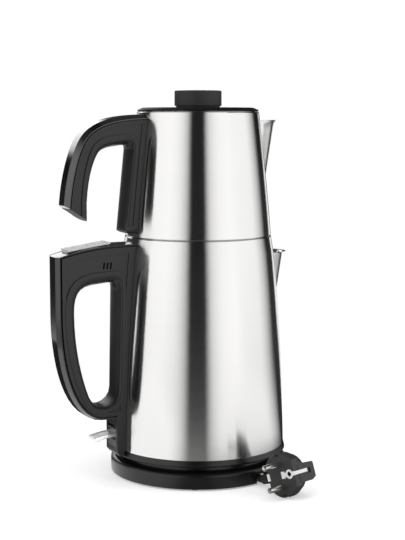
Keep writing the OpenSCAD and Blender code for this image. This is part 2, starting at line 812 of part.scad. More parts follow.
module kettle_handle() {
    color(BLACK)
        difference() {
            union() {
                handle_plate(handle_side(groove_w), handle_w);
                handle_plate(handle_side(0), handle_w - 2 * groove_d);
                // Raised lip round the finger hole
                difference() {
                    handle_plate(moved_loop(hole_cheek, 3.6), handle_w + 1);
                    handle_plate(moved_loop(hole_cheek, 0.8), handle_w + 2);
                }
            }
            flared_opening(hole_mid, hole_cheek, handle_half);
            kettle_solid(0.1);
            // Sunk fields on both cheeks, inside a border
            for (s = [-1, 1])
                translate([0, s * (handle_half - field_sink + 5), 0])
                    difference() {
                        handle_plate(handle_field, 10);
                        handle_plate(moved_loop(hole_cheek, 3.6), 12);
                        kettle_solid(field_border);
                    }
            translate([0, 0, foot_low_z - cut])
                cylinder(h = kettle_foot_z - foot_low_z + cut + 0.1, r = collar_r + 0.2);
            // Pocket for the board and the sound unit
            translate([-pocket_out, -pocket_half, pocket_low])
                cube([pocket_out - pocket_in, 2 * pocket_half, 40]);
            // Slots over the sound unit
            for (r = slot_reaches)
                translate([-r, -handle_half, slot_z])
                    rotate([0, 8, 0]) cube([1.5, 8, 5.8], center = true);
            // Pocket of the power switch
            translate([-handle_foot_reach - cut, -housing_half - 0.1, housing_low - 0.1])
                cube([20, 2 * housing_half + 0.2, housing_high - housing_low + 0.2]);
            bracket_shape(0.2);
            bracket_screws(0.1);
        }
}

// A closed loop moved outward by d
function moved_loop(loop, d) =
    let (n = len(loop))
    [for (i = [0:n - 1])
        let (n1 = side_normal(loop[(i + n - 1) % n], loop[i]),
             n2 = side_normal(loop[i], loop[(i + 1) % n]),
             m = unit(n1 + n2))
        loop[i] - m * d / (m * n1)];

module kettle_handle_spine() {
    color([0.06, 0.06, 0.06])
        difference() {
            spine_cover(handle_back, under_cover(-spine_edge), under_cover(0), handle_flat_w / 2,
                        handle_half);
            kettle_solid(0.1);
            panel_frame()
                translate([0, 0, 4 + panel_proud - panel_t])
                    cube([panel_len + 0.2, panel_neck_w + 0.2, 8], center = true);
        }
}

bracket_z = 196;
bracket_low_z = 64.2;
bracket_t = 1.6;
bracket_w = 14;
bracket_tab = 9;
module bracket_shape(grow) {
    for (z = [bracket_z, bracket_low_z])
        difference() {
            union() {
                // Plate welded to the wall
                translate([-82, -bracket_w / 2 - grow, z - 14])
                    intersection() {
                        cube([30, bracket_w + 2 * grow, 14 + bracket_t + grow]);
                        translate([82, bracket_w / 2 + grow, 14 - z]) kettle_solid(0.1 + bracket_t + grow);
                    }
                // Tab that takes the screw
                translate([-kettle_r(z) - bracket_tab - grow, -bracket_w / 2 - grow, z - grow])
                    cube([20, bracket_w + 2 * grow, bracket_t + 2 * grow]);
            }
            kettle_solid(0.05 - grow);
        }
}

module bracket_screws(grow) {
    for (z = [bracket_z, bracket_low_z])
        translate([-kettle_r(z) - bracket_tab / 2 - 0.6, 0, z]) {
            translate([0, 0, -6 - grow]) cylinder(h = 12 + grow, r = screw_r + grow);
            translate([0, 0, bracket_t + 1.4]) cylinder(h = 1.8 + grow, r = 2.8 + grow);
        }
}

module kettle_handle_bracket() {
    color([0.70, 0.70, 0.70])
        difference() {
            bracket_shape(0);
            bracket_screws(0.1);
        }
}

module kettle_handle_screws() {
    color([0.62, 0.62, 0.62]) bracket_screws(0);
}

panel_tilt = atan(2.5 * top_fall * pow(panel_reach - kettle_mouth_r, 1.5));
panel_proud = 1.6;
panel_t = 3.2;
panel_neck_w = 11;
panel_plate_t = 1.5;
// Frame of the key panel: +X up the slope towards the vessel, +Z out of the panel
module panel_frame() {
    translate([-panel_reach, 0, handle_top_z(panel_reach)]) rotate([0, -panel_tilt, 0]) children();
}

key_len = 16.6;
key_w = 7.6;
key_gap = 0.3;
key_pitch = 18.2;
module control_panel() {
    color([0.78, 0.78, 0.79])
        panel_frame()
            difference() {
                union() {
                    translate([0, 0, panel_proud - panel_t / 2])
                        cube([panel_len, panel_neck_w, panel_t], center = true);
                    translate([0, 0, panel_proud - panel_plate_t / 2])
                        cube([panel_len, panel_w, panel_plate_t], center = true);
                }
                for (s = [-1, 1])
                    translate([s * key_pitch / 2, 0, panel_proud])
                        cube([key_len + 2 * key_gap, key_w + 2 * key_gap, 2 * (panel_t - 0.8)],
                             center = true);
                // Rounded long edges
                for (s = [-1, 1])
                    translate([0, s * panel_w / 2, panel_proud])
                        rotate([45, 0, 0]) cube([panel_len + 2 * cut, 0.7, 0.7], center = true);
            }
}

key_t = 2.2;
// A key stands out by its travel
key_proud = key_travel;
module panel_key(side) {
    color([0.86, 0.86, 0.87])
        panel_frame()
            translate([side * key_pitch / 2, 0, panel_proud + key_proud - key_t / 2])
                difference() {
                    cube([key_len, key_w, key_t], center = true);
                    // Dished top
                    translate([0, 0, 40 + key_t / 2 - 0.35])
                        rotate([90, 0, 0]) cylinder(h = key_w + 2 * cut, r = 40, center = true);
                }
}

module panel_key_1() { panel_key(-1); }
module panel_key_2() { panel_key(1); }

board_len = 34;
board_t = 1.6;
module control_board() {
    color([0.12, 0.35, 0.18])
        panel_frame()
            translate([0, 0, -spine_depth - part_gap - board_t / 2])
                cube([board_len, 2 * pocket_half - 1.6, board_t], center = true);
}

module sound_unit() {
    color([0.10, 0.10, 0.10])
        translate([-slot_reaches[1], -pocket_half + 0.1, slot_z])
            rotate([-90, 0, 0])
                difference() {
                    cylinder(h = 4, r = 3.5);
                    translate([0, 0, -cut]) cylinder(h = 2, r = 1.2);
                }
}

module switch_housing() {
    color([0.45, 0.45, 0.45])
        difference() {
            translate([-handle_foot_reach, -housing_half, housing_low])
                cube([20, 2 * housing_half, housing_high - housing_low]);
            kettle_solid(0.1);
            // Slot of the lever
            translate([-handle_foot_reach - cut, -lever_half - part_gap, lever_pivot_z - 5])
                cube([20, 2 * (lever_half + part_gap), 10]);
            cross_bar(lever_pivot_reach, lever_pivot_z, lever_pin_r, 40);
            // Sloping brow over the lever
            translate([-handle_foot_reach - 2, -20, housing_high - 1])
                rotate([0, 35, 0]) cube([8, 40, 4]);
        }
}

lever_half = 8;
lever_hub_r = 2.6;
lever_pin_r = 0.9;
lever_t = 2.4;
module power_lever() {
    color([0.90, 0.92, 0.94, 0.5])
        difference() {
            union() {
                cross_bar(lever_pivot_reach, lever_pivot_z, lever_hub_r, 2 * lever_half);
                handle_plate(concat(
                    [[lever_pivot_reach, lever_pivot_z + lever_hub_r]],
                    curve([[lever_pivot_reach + 4, lever_pivot_z + 1.6],
                           [lever_pivot_reach + 12, lever_pivot_z + 0.8],
                           [lever_reach - 6, lever_pivot_z - 0.4], [lever_reach, lever_pivot_z - 1.6]], 6),
                    [[lever_reach, lever_pivot_z - 1.6], [lever_reach - 0.6, lever_pivot_z - 1.6 - lever_t]],
                    curve([[lever_reach - 4, lever_pivot_z - 2.2 - lever_t],
                           [lever_pivot_reach + 14, lever_pivot_z - 1.2 - lever_t / 2],
                           [lever_pivot_reach + 8, lever_pivot_z - 1.4],
                           [lever_pivot_reach + 3, lever_pivot_z - 1.6]], 6),
                    [[lever_pivot_reach, lever_pivot_z - lever_hub_r]]), 2 * lever_half);
            }
            cross_bar(lever_pivot_reach, lever_pivot_z, lever_pin_r + 0.05, 40);
        }
}

module lever_pin() {
    color([0.75, 0.75, 0.75])
        cross_bar(lever_pivot_reach, lever_pivot_z, lever_pin_r, 2 * housing_half);
}

// ---- Teapot ----

spigot_gap = 0.4;
spigot_r = kettle_mouth_r - 2 * rim_bead - spigot_gap;
spigot_depth = 9;
teapot_bead = 1.1;
teapot_beak_x = 56;
teapot_beak_z0 = 238;
teapot_beak_z1 = 318.7;
teapot_beak_r0 = 7.6;
teapot_beak_r1 = 19.4;
teapot_lip_h = 8;
teapot_lip_flare = 1.7;

module teapot_shell() {
    color(STEEL)
        difference() {
            rotate_extrude() {
                polygon(concat(
                    [[spigot_r - steel_wall, teapot_foot_z - spigot_depth],
                     [spigot_r, teapot_foot_z - spigot_depth], [spigot_r, teapot_foot_z],
                     [teapot_foot_r - 0.8, teapot_foot_z]],
                    teapot_side(teapot_foot_z + 0.8, teapot_mouth_z, 0),
                    reversed(teapot_side(teapot_foot_z + steel_wall, teapot_mouth_z, steel_wall)),
                    [[spigot_r - steel_wall, teapot_foot_z + steel_wall]]));
                translate([teapot_mouth_r - teapot_bead, teapot_mouth_z]) circle(r = teapot_bead, $fn = 24);
            }
            // Strainer holes behind the beak
            for (row = [0:4], i = [0:row + 1])
                translate([40, (i - (row + 1) / 2) * 5, 284 + row * 6])
                    rotate([0, 90, 0]) cylinder(h = 30, r = 1.6);
        }
}

module teapot_floor() {
    color(STEEL)
        translate([0, 0, teapot_foot_z - spigot_depth])
            rotate_extrude()
                polygon([[0, 0], [spigot_r - steel_wall - 0.05, 0], [spigot_r - steel_wall - 0.05, 4],
                         [spigot_r - steel_wall - 0.9, 4], [spigot_r - steel_wall - 0.9, 1], [0, 1]]);
}

module teapot_spout() {
    color(STEEL)
        difference() {
            beak(teapot_beak_x, teapot_beak_z0, teapot_beak_r0, teapot_beak_z1, teapot_beak_r1,
                 teapot_lip_h, teapot_lip_flare, 0);
            beak(teapot_beak_x, teapot_beak_z0, teapot_beak_r0, teapot_beak_z1, teapot_beak_r1,
                 teapot_lip_h, teapot_lip_flare, beak_wall);
            teapot_solid(0);
        }
}

// ---- Teapot handle: an open hook ----

hook_half = hook_w / 2;
hook_border = 3.6;
hook_flat_w = 13;
hook_depth = 4;
hook_groove_w = 0.9;
hook_drawn = [66, 131, 215.9];
hook_real = [teapot_foot_r, hook_reach, teapot_foot_z];
hook_back = fitted(concat(
    curve([[48, 323.6], [82, 323.6], [108, 319], [117.6, 299.4]], 12),
    curve([[117.6, 299.4], [123.4, 288], [129.6, 266], [131, 240]], 9),
    [[131, 240]]), hook_drawn, hook_real);

// The gap for the fingers, open at the bottom
gap_mid = fitted(concat(
    [[109.3, 205], [109.3, 231]],
    curve([[109.3, 248], [107.9, 268], [103.5, 282], [98.3, 289.6]], 7),
    curve([[98.3, 289.6], [95.9, 293], [91, 294.8], [84, 295.7]], 5),
    [[84, 295.7]],
    curve([[75, 296.9], [71.6, 297.2], [69.2, 295.4], [69.2, 291]], 5),
    [[69.2, 291], [75.8, 230], [78.4, 205]]), hook_drawn, hook_real);
gap_cheek = fitted(concat(
    [[113.3, 205], [113.3, 231]],
    curve([[113.3, 248], [112, 270], [107.5, 287], [102.3, 294.8]], 7),
    curve([[102.3, 294.8], [98.9, 299.4], [93.5, 301.2], [86, 302.2]], 5),
    [[86, 302.2]],
    curve([[72.4, 303.8], [68.8, 304], [67, 300.4], [67, 294]], 5),
    [[67, 294], [73.6, 230], [76.2, 205]]), hook_drawn, hook_real);

hook_foot_z = teapot_foot_z + 3.5;
function hook_side(inset) = concat(
    moved(hook_back, -inset),
    fitted(concat([[112, 226]],
                  curve([[77.2, 229.5], [77.4, 223.6], [75, 219.5], [69.5, 219.4]], 6),
                  [[69.5, 219.4], [44, 219.4]]), hook_drawn, hook_real));
hook_field = fitted([[128, 200], [112, 226], [74, 226.4], [44, 226.4]], hook_drawn, hook_real);

end_slant = 33.5;
end_inside = 43.8;
end_rise = 15.3;
// The slanting cut across the hook's free end
module hook_end_cut() {
    translate([teapot_foot_r - hook_reach - end_inside, 0, teapot_foot_z + end_rise])
        rotate([0, end_slant, 0])
            translate([-40, -hook_w, -40]) cube([44, 2 * hook_w, 40]);
}

foot_round = 5;
// Rounds the column's lower end across its width
module hook_foot_cut() {
    translate([-90, 0, hook_foot_z])
        rotate([90, 0, 90])
            linear_extrude(height = 40)
                difference() {
                    translate([-hook_w, -cut]) square([2 * hook_w, foot_round + cut]);
                    polygon(concat(
                        [for (a = [0:15:90])
                            [hook_half - foot_round * (1 - cos(a)), foot_round * (1 - sin(a))]],
                        [for (a = [90:-15:0])
                            [foot_round * (1 - cos(a)) - hook_half, foot_round * (1 - sin(a))]],
                        [[-hook_half, foot_round + cut], [hook_half, foot_round + cut]]));
                }
}

module teapot_handle() {
    color(BLACK)
        difference() {
            union() {
                handle_plate(hook_side(hook_depth + hook_groove_w), hook_w);
                handle_plate(hook_side(hook_depth), hook_w - 2 * groove_d);
                // Raised lip along the finger gap
                difference() {
                    handle_plate(moved_loop(gap_cheek, 3), hook_w + 1);
                    handle_plate(moved_loop(gap_cheek, 0.8), hook_w + 2);
                    translate([-200, -50, hook_foot_z - 50]) cube([200, 100, 57]);
                }
            }
            flared_opening(gap_mid, gap_cheek, hook_half);
            // Sunk fields on both cheeks
            for (s = [-1, 1])
                translate([0, s * (hook_half - field_sink + 5), 0])
                    difference() {
                        handle_plate(concat(moved(hook_back, -hook_depth - hook_border), hook_field), 10);
                        handle_plate(moved_loop(gap_cheek, 3), 12);
                        teapot_solid(hook_border);
                    }
            hook_end_cut();
            hook_foot_cut();
            teapot_solid(0.1);
            hook_bracket_shape(0.2);
            hook_screws(0.1);
        }
}

module teapot_handle_spine() {
    color([0.06, 0.06, 0.06])
        difference() {
            spine_cover(hook_back, moved(hook_back, spine_edge - hook_depth),
                        moved(hook_back, -hook_depth), hook_flat_w / 2, hook_half);
            hook_end_cut();
            teapot_solid(0.1);
        }
}

hook_bracket_z = [308, 232];
module hook_bracket_shape(grow) {
    for (z = hook_bracket_z)
        difference() {
            translate([-teapot_r(z) - 3 - grow, -6 - grow, z - 5 - grow])
                cube([14, 12 + 2 * grow, 10 + 2 * grow]);
            teapot_solid(0.05 - grow);
        }
}

module hook_screws(grow) {
    for (z = hook_bracket_z)
        translate([-teapot_r(z) - 1, 0, z])
            rotate([0, -90, 0]) {
                cylinder(h = 7 + grow, r = screw_r + grow);
                translate([0, 0, 5]) cylinder(h = 1.8 + grow, r = 2.8 + grow);
            }
}

module teapot_handle_bracket() {
    color([0.70, 0.70, 0.70])
        difference() {
            hook_bracket_shape(0);
            hook_screws(0.1);
        }
}

module teapot_handle_screws() {
    color([0.62, 0.62, 0.62]) hook_screws(0);
}

// ---- Tea basket ----

// The rim rests on the inner shoulder of the mouth's bead
rim_in = 0.8;
rim_r = teapot_mouth_r - teapot_bead - rim_in;
basket_rim_z = teapot_mouth_z + sqrt(pow(teapot_bead, 2) - pow(rim_in, 2)) + part_gap;
basket_neck_r = teapot_mouth_r - 2 * teapot_bead - 1.8;
basket_rim_t = 0.8;
basket_wall = 0.6;
basket_low_z = 238;
basket_low_r = 43;
module infuser_rim() {
    color(STEEL)
        rotate_extrude()
            polygon([[basket_neck_r, basket_rim_z - 9], [basket_neck_r + basket_wall, basket_rim_z - 9],
                     [basket_neck_r + basket_wall, basket_rim_z], [rim_r, basket_rim_z],
                     [rim_r, basket_rim_z + basket_rim_t],
                     [basket_neck_r, basket_rim_z + basket_rim_t]]);
}

module infuser_basket() {
    color(STEEL)
        difference() {
            rotate_extrude()
                polygon([[0, basket_low_z], [basket_low_r - 3, basket_low_z],
                         [basket_low_r, basket_low_z + 3],
                         [basket_neck_r, basket_rim_z - 10], [basket_neck_r, basket_rim_z - 3],
                         [basket_neck_r - basket_wall, basket_rim_z - 3],
                         [basket_neck_r - basket_wall, basket_rim_z - 10],
                         [basket_low_r - basket_wall, basket_low_z + 3.4],
                         [basket_low_r - 3.4, basket_low_z + basket_wall], [0, basket_low_z + basket_wall]]);
            for (row = [0:4], i = [0:11])
                translate([0, 0, basket_low_z + 14 + row * 9])
                    rotate([0, 90, 30 * i + 15 * (row % 2)])
                        translate([0, 0, basket_low_r - 6]) cylinder(h = 20, r = 1.5);
            for (ring = [1:3], i = [0:6 * ring - 1])
                rotate([0, 0, i * 60 / ring])
                    translate([ring * 11, 0, basket_low_z - cut]) cylinder(h = 3, r = 1.5);
        }
}

// ---- Lid ----

// The lid's underside over the basket's rim, and its lower edge over the mouth's bead
lid_z = basket_rim_z + basket_rim_t + part_gap;
lid_low_z = teapot_mouth_z + teapot_bead + part_gap;
lid_top = lid_low_z + lid_t;
skirt_r = basket_neck_r - basket_wall - 0.4;
module lid_plate() {
    color(BLACK)
        difference() {
            rotate_extrude()
                polygon([[0, lid_z], [rim_r + 0.4, lid_z], [rim_r + 0.4, lid_low_z],
                         [lid_r - 0.4, lid_low_z], [lid_r, lid_low_z + 0.8], [lid_r - 0.4, lid_low_z + 1.5],
                         [lid_r - 5, lid_top], [0, lid_top]]);
            translate([0, 0, lid_z - cut]) cylinder(h = lid_t + 2 * cut, r = 2.1);
        }
}

module lid_skirt() {
    color([0.20, 0.20, 0.20])
        rotate_extrude()
            polygon([[skirt_r - 1.4, lid_z - 7], [skirt_r - 0.3, lid_z - 7], [skirt_r, lid_z - 6.4],
                     [skirt_r, lid_z], [skirt_r - 1.4, lid_z]]);
}

knob_step_h = 1.3;
module lid_knob() {
    color(BLACK)
        translate([0, 0, lid_top])
            difference() {
                rotate_extrude()
                    polygon(concat(
                        [[0, 0], [knob_r - 1.5, 0], [knob_r - 1.5, knob_step_h], [knob_r, knob_step_h + 0.5],
                         [knob_r, knob_h - 1]],
                        [for (a = [0:30:90]) [knob_r - 1 + cos(a), knob_h - 1 + sin(a)]],
                        [[knob_r - 3, knob_h - 0.3], [0, knob_h - 0.3]]));
                translate([0, 0, -cut]) cylinder(h = 8 + cut, r = 2);
            }
}

module lid_knob_screw() {
    color([0.62, 0.62, 0.62]) {
        translate([0, 0, lid_z - 1.8]) cylinder(h = 1.8, r = 4);
        translate([0, 0, lid_z - 0.2]) cylinder(h = lid_t + 7, r = 2);
    }
}

base_cover();
base_plate();
base_feet();
base_screws();
base_socket();
socket_contacts();
socket_shutter();
cord_gland();
cord_winding();
power_cord();
cord_sleeve();
plug_body();
plug_pins();
plug_earth_clips();
kettle_shell();
kettle_spout();
kettle_floor();
heat_spreader();
heating_element();
thermostat_disc();
kettle_connector();
connector_pins();
kettle_collar();
kettle_underside();
underside_screws();
kettle_handle();
kettle_handle_spine();
kettle_handle_bracket();
kettle_handle_screws();
control_panel();
control_board();
sound_unit();
panel_key_1();
panel_key_2();
switch_housing();
power_lever();
lever_pin();
teapot_shell();
teapot_floor();
teapot_spout();
teapot_handle();
teapot_handle_spine();
teapot_handle_bracket();
teapot_handle_screws();
infuser_basket();
infuser_rim();
lid_plate();
lid_skirt();
lid_knob();
lid_knob_screw();
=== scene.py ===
import math
import bpy
import bmesh
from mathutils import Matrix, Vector


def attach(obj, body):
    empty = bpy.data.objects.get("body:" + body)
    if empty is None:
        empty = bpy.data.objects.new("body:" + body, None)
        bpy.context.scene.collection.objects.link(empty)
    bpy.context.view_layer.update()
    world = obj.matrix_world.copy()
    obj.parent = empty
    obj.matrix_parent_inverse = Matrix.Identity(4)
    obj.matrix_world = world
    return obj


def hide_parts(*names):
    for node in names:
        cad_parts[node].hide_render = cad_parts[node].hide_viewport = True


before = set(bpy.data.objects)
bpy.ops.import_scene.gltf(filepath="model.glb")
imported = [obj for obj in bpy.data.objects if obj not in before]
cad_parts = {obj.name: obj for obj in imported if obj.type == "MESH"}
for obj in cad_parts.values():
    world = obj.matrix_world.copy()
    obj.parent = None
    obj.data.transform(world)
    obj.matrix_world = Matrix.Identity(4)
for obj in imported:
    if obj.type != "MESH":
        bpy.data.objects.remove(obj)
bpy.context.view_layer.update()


# ---- Camera ----
# A long lens at table height, a little above the middle of the kettle, turned so that the
# spouts point away to the right and the handles come towards the left.
camera_data = bpy.data.cameras.new("camera")
camera_data.sensor_width = 36
camera_data.lens = 84.41
camera_data.shift_x = 0.0083
camera_data.clip_start = 0.05
camera = bpy.data.objects.new("camera", camera_data)
camera.location = (-0.50122, -1.02766, 0.31917)
camera.rotation_euler = (math.radians(83.217), math.radians(-0.034), math.radians(-26))
bpy.context.scene.collection.objects.link(camera)
bpy.context.scene.camera = camera
bpy.context.scene.view_settings.view_transform = "Standard"


# ---- Mains lead ----
# One flexible rubber lead: from the gland inside the base's hub it is wound on the hub, leaves
# through the notch in the skirt and ends in the side of the plug.
class Wire:
    """One value that runs between the nodes of a finish."""

    def __init__(self, finish, socket):
        self.finish, self.socket = finish, socket

    def maths(self, operation, *terms):
        """A Math node; the terms fill its sockets in their order."""
        return self.finish.node("Math", {"operation": operation}, dict(enumerate(terms)))

    def __add__(self, other):
        return self.maths("ADD", self, other)

    def __radd__(self, other):
        return self.maths("ADD", other, self)

    def __sub__(self, other):
        return self.maths("SUBTRACT", self, other)

    def __rsub__(self, other):
        return self.maths("SUBTRACT", other, self)

    def __mul__(self, other):
        return self.maths("MULTIPLY", self, other)

    def __rmul__(self, other):
        return self.maths("MULTIPLY", other, self)

    def __truediv__(self, other):
        return self.maths("DIVIDE", self, other)

    def __rtruediv__(self, other):
        return self.maths("DIVIDE", other, self)


class Finish:
    """The nodes of one material, or of the room's light."""

    def __init__(self, tree):
        self.tree = tree
        tree.nodes.clear()

    def node(self, kind, settings, inputs, output=0):
        """Adds a node with its settings, then the values or wires of its sockets."""
        made = self.tree.nodes.new("ShaderNode" + kind)
        for name, value in settings.items():
            if name == "stops":
                ramp = made.color_ramp.elements
                while len(ramp) < len(value):
                    ramp.new(1)
                for stop, (place, shade) in zip(ramp, value):
                    stop.position = place
                    stop.color = (shade, shade, shade, 1)
            else:
                setattr(made, name, value)
        for name, value in inputs.items():
            if isinstance(value, Wire):
                self.tree.links.new(value.socket, made.inputs[name])
            else:
                made.inputs[name].default_value = value
        return Wire(self, made.outputs[output]) if made.outputs else None

    def blend(self, share, first, second):
        """Mixes two colours; a share of 1 gives the second."""
        made = self.tree.nodes.new("ShaderNodeMix")
        made.data_type = "RGBA"
        for name, value in (("Factor", share), ("A", first), ("B", second)):
            socket = next(s for s in made.inputs if s.name == name
                          and (s.type == "RGBA" or name == "Factor") and s.enabled)
            if isinstance(value, Wire):
                self.tree.links.new(value.socket, socket)
            else:
                socket.default_value = value if name == "Factor" else (*value, 1)
        return Wire(self, next(s for s in made.outputs if s.type == "RGBA"))

    def grain(self, stretch, detail=2.0, roughness=0.5):
        """Noise on the piece, with about that many grains to the metre along X, Y and Z."""
        where = self.node("TexCoord", {}, {}, "Object")
        stretched = self.node("Mapping", {}, {"Vector": where, "Scale": stretch})
        return self.node("TexNoise", {}, {"Vector": stretched, "Scale": 1.0, "Detail": detail,
                                          "Roughness": roughness}, "Fac")

    def relief(self, height, distance, strength=1.0):
        """Fine height for a surface's Normal."""
        return self.node("Bump", {}, {"Strength": strength, "Distance": distance,
                                      "Height": height}, "Normal")

    def surface(self, **inputs):
        """Closes a material with one shader; its sockets are named with underscores."""
        named = {name.replace("_", " "): value for name, value in inputs.items()}
        made = self.node("BsdfPrincipled", {}, named)
        self.node("OutputMaterial", {}, {"Surface": made})


def new_finish(name):
    material = bpy.data.materials.new(name)
    material.use_nodes = True
    return material, Finish(material.node_tree)


def rubber(name, shade, roughness):
    """Flexible rubber: dull, with a very fine pebbled skin."""
    material, finish = new_finish(name)
    skin = finish.grain((900, 900, 900), 3)
    patches = finish.grain((60, 60, 60), 2)
    tone = finish.blend(patches, (shade * 0.8,) * 3, (shade * 1.3,) * 3)
    finish.surface(Base_Color=tone, Roughness=roughness + patches * 0.12,
                   Normal=finish.relief(skin, 0.00006))
    return material


def tube_mesh(name, path, radius, sides):
    """A round tube of even thickness along a path of points."""
    shape = bmesh.new()
    rings = []
    turns = [2 * math.pi * k / sides for k in range(sides)]
    for i, point in enumerate(path):
        ahead = (path[min(i + 1, len(path) - 1)] - path[max(i - 1, 0)]).normalized()
        side = ahead.cross(Vector((0, 0, 1))).normalized()
        up = side.cross(ahead)
        rings.append([shape.verts.new(point + radius * (math.cos(turn) * side
                                                        + math.sin(turn) * up))
                      for turn in turns])
    for ring, following in zip(rings, rings[1:]):
        for k in range(sides):
            beside = (k + 1) % sides
            shape.faces.new((ring[k], ring[beside], following[beside], following[k]))
    shape.faces.new(reversed(rings[0]))
    shape.faces.new(rings[-1])
    bmesh.ops.recalc_face_normals(shape, faces=shape.faces)
    mesh = bpy.data.meshes.new(name)
    shape.to_mesh(mesh)
    shape.free()
    mesh.shade_smooth()
    return mesh


lead_diameter = 0.0068
lead_height = 0.0054
lead_sides = 20
gland_turn = math.radians(-97)
wound_turn = math.radians(680)
winding_steps = 76
# Degrees turned on the hub, with the lead's distance from the axis there
winding_reach = ((0, 0.0500), (35, 0.0534), (318, 0.0534), (362, 0.0572), (400, 0.0604),
                 (680, 0.0610))
# From the winding out through the notch to the plug's sleeve, in millimetres
way_out = ((29.4, -56, 5.3), (26.6, -61.2, 5.2), (24.9, -66.8, 5), (24.3, -72.6, 4.9),
           (24.7, -78.6, 5.3), (26.3, -84.6, 6.8), (28.7, -91.7, 9.4), (31.1, -98.9, 12))


def winding_radius(turn):
    """Distance of the wound lead from the axis, after it has turned that far on the hub."""
    degrees = math.degrees(turn)
    for (start, reach), (end, next_reach) in zip(winding_reach, winding_reach[1:]):
        if degrees <= end:
            share = (degrees - start) / (end - start)
            return reach + (next_reach - reach) * share * share * (3 - 2 * share)
    return winding_reach[-1][1]


lead_path = []
for k in range(winding_steps + 1):
    turn = wound_turn * k / winding_steps
    angle = gland_turn - turn
    reach = winding_radius(turn)
    lead_path.append(Vector((reach * math.cos(angle), reach * math.sin(angle), lead_height)))
lead_path += [Vector(point) / 1000 for point in way_out]
lead_mesh = tube_mesh("mains_lead", lead_path, lead_diameter / 2, lead_sides)
lead_mesh.materials.append(rubber("lead_rubber", shade=0.016, roughness=0.42))
lead = bpy.data.objects.new("mains_lead", lead_mesh)
bpy.context.scene.collection.objects.link(lead)
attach(lead, "power_base")
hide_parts("power_cord", "cord_winding")


# ---- Plug and its sleeve ----
# A moulded rubber plug with nickel-plated pins and sprung earth clips; a grooved sleeve of
# the same rubber keeps the lead from kinking where it leaves the side.
def dress(material, *names):
    """Gives the frame's own pieces a finish."""
    for name in names:
        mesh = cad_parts[name].data
        mesh.materials.clear()
        mesh.materials.append(material)


def plated(name, shade, roughness, metal=1.0):
    """Plated or bright metal with faint rubbing."""
    material, finish = new_finish(name)
    rubbing = finish.grain((400, 400, 120), 3)
    finish.surface(Base_Color=finish.blend(rubbing, tuple(c * 0.9 for c in shade), shade),
                   Metallic=metal, Roughness=roughness + rubbing * 0.12,
                   Normal=finish.relief(rubbing, 0.00002))
    return material


dress(rubber("plug_rubber", shade=0.03, roughness=0.4), "plug_body", "cord_sleeve")
dress(plated("pin_nickel", shade=(0.84, 0.81, 0.77), roughness=0.16), "plug_pins")
dress(plated("clip_nickel", shade=(0.96, 0.95, 0.93), roughness=0.5, metal=0.15),
      "plug_earth_clips")


# ---- Power base ----
# A round cover of black plastic with a turned-down skirt; the underside plate with its hub is
# screwed up into it, and four rubber feet are pressed into the plate.
def plastic(name, shade, roughness, grains, depth, coat=0.0, ior=1.5, shine=0.5):
    """Moulded black or grey plastic: a fine spark-eroded grain and slightly uneven gloss."""
    material, finish = new_finish(name)
    grain = finish.grain((grains,) * 3, 2)
    drift = finish.grain((35, 35, 35), 3)
    tone = finish.blend(drift, (shade * 0.85,) * 3, (shade * 1.15,) * 3)
    finish.surface(Base_Color=tone, Roughness=roughness + drift * 0.1, Coat_Weight=coat,
                   IOR=ior, Specular_IOR_Level=shine, Coat_Roughness=0.08,
                   Normal=finish.relief(grain, depth))
    return material


base_black = plastic("base_black", shade=0.006, roughness=0.20, grains=1400, depth=0.00002)
dress(base_black, "base_cover", "base_plate")
dress(rubber("foot_rubber", shade=0.03, roughness=0.6), "base_feet")
zinc = plated("screw_zinc", shade=(0.62, 0.62, 0.63), roughness=0.24)
dress(zinc, "base_screws")


# ---- Cordless contacts ----
# A grey tower of heat-proof plastic in the middle of the base with ring contacts of brass and a
# red sprung shutter; the kettle carries the matching socket, pin and blade. The lead's gland
# in the base is of the same grey plastic.
def tinted(name, shade, roughness):
    """Coloured technical plastic or lacquer, matt, with slight mottling."""
    material, finish = new_finish(name)
    mottle = finish.grain((260, 260, 260), 3)
    finish.surface(Base_Color=finish.blend(mottle, tuple(c * 0.88 for c in shade), shade),
                   Roughness=roughness + mottle * 0.1,
                   Normal=finish.relief(mottle, 0.00003))
    return material


socket_grey = plastic("socket_grey", shade=0.05, roughness=0.45, grains=1100, depth=0.00003)
dress(socket_grey, "base_socket", "cord_gland", "kettle_connector")
brass = plated("contact_brass", shade=(0.74, 0.53, 0.22), roughness=0.2)
dress(brass, "socket_contacts", "connector_pins")
dress(tinted("shutter_red", shade=(0.45, 0.05, 0.03), roughness=0.4), "socket_shutter")


# ---- Kettle and teapot bodies ----
# Stainless steel sheet, drawn to a cone and brushed round the axis by turning it under an
# abrasive belt; the rims are rolled to a bead and the beaks are welded on. The floors and the
# basket that hangs in the teapot are of a duller steel.
def brushed_steel(name, shade, roughness, spread):
    """Steel brushed round the vertical axis; the spread draws out what it mirrors."""
    material, finish = new_finish(name)
    brushing = finish.grain((14, 14, 5200), 3.0, 0.6)
    broad = finish.grain((9, 9, 60), 2)
    tone = finish.blend(brushing, tuple(c * 0.94 for c in shade),
                        tuple(min(1, c * 1.03) for c in shade))
    finish.surface(Base_Color=tone, Metallic=1.0,
                   Roughness=roughness + brushing * 0.07 + broad * 0.03,
                   Anisotropic=spread, Anisotropic_Rotation=0.25,
                   Normal=finish.relief(brushing, 0.000012, 0.5))
    return material


steel = brushed_steel("steel", shade=(0.84, 0.835, 0.825), roughness=0.13, spread=0.95)
dress(steel, "kettle_shell", "kettle_spout", "teapot_shell", "teapot_spout")
steel_inner = brushed_steel("steel_inner", shade=(0.72, 0.715, 0.70), roughness=0.2, spread=0.3)
dress(steel_inner, "kettle_floor", "teapot_floor", "infuser_basket", "infuser_rim")


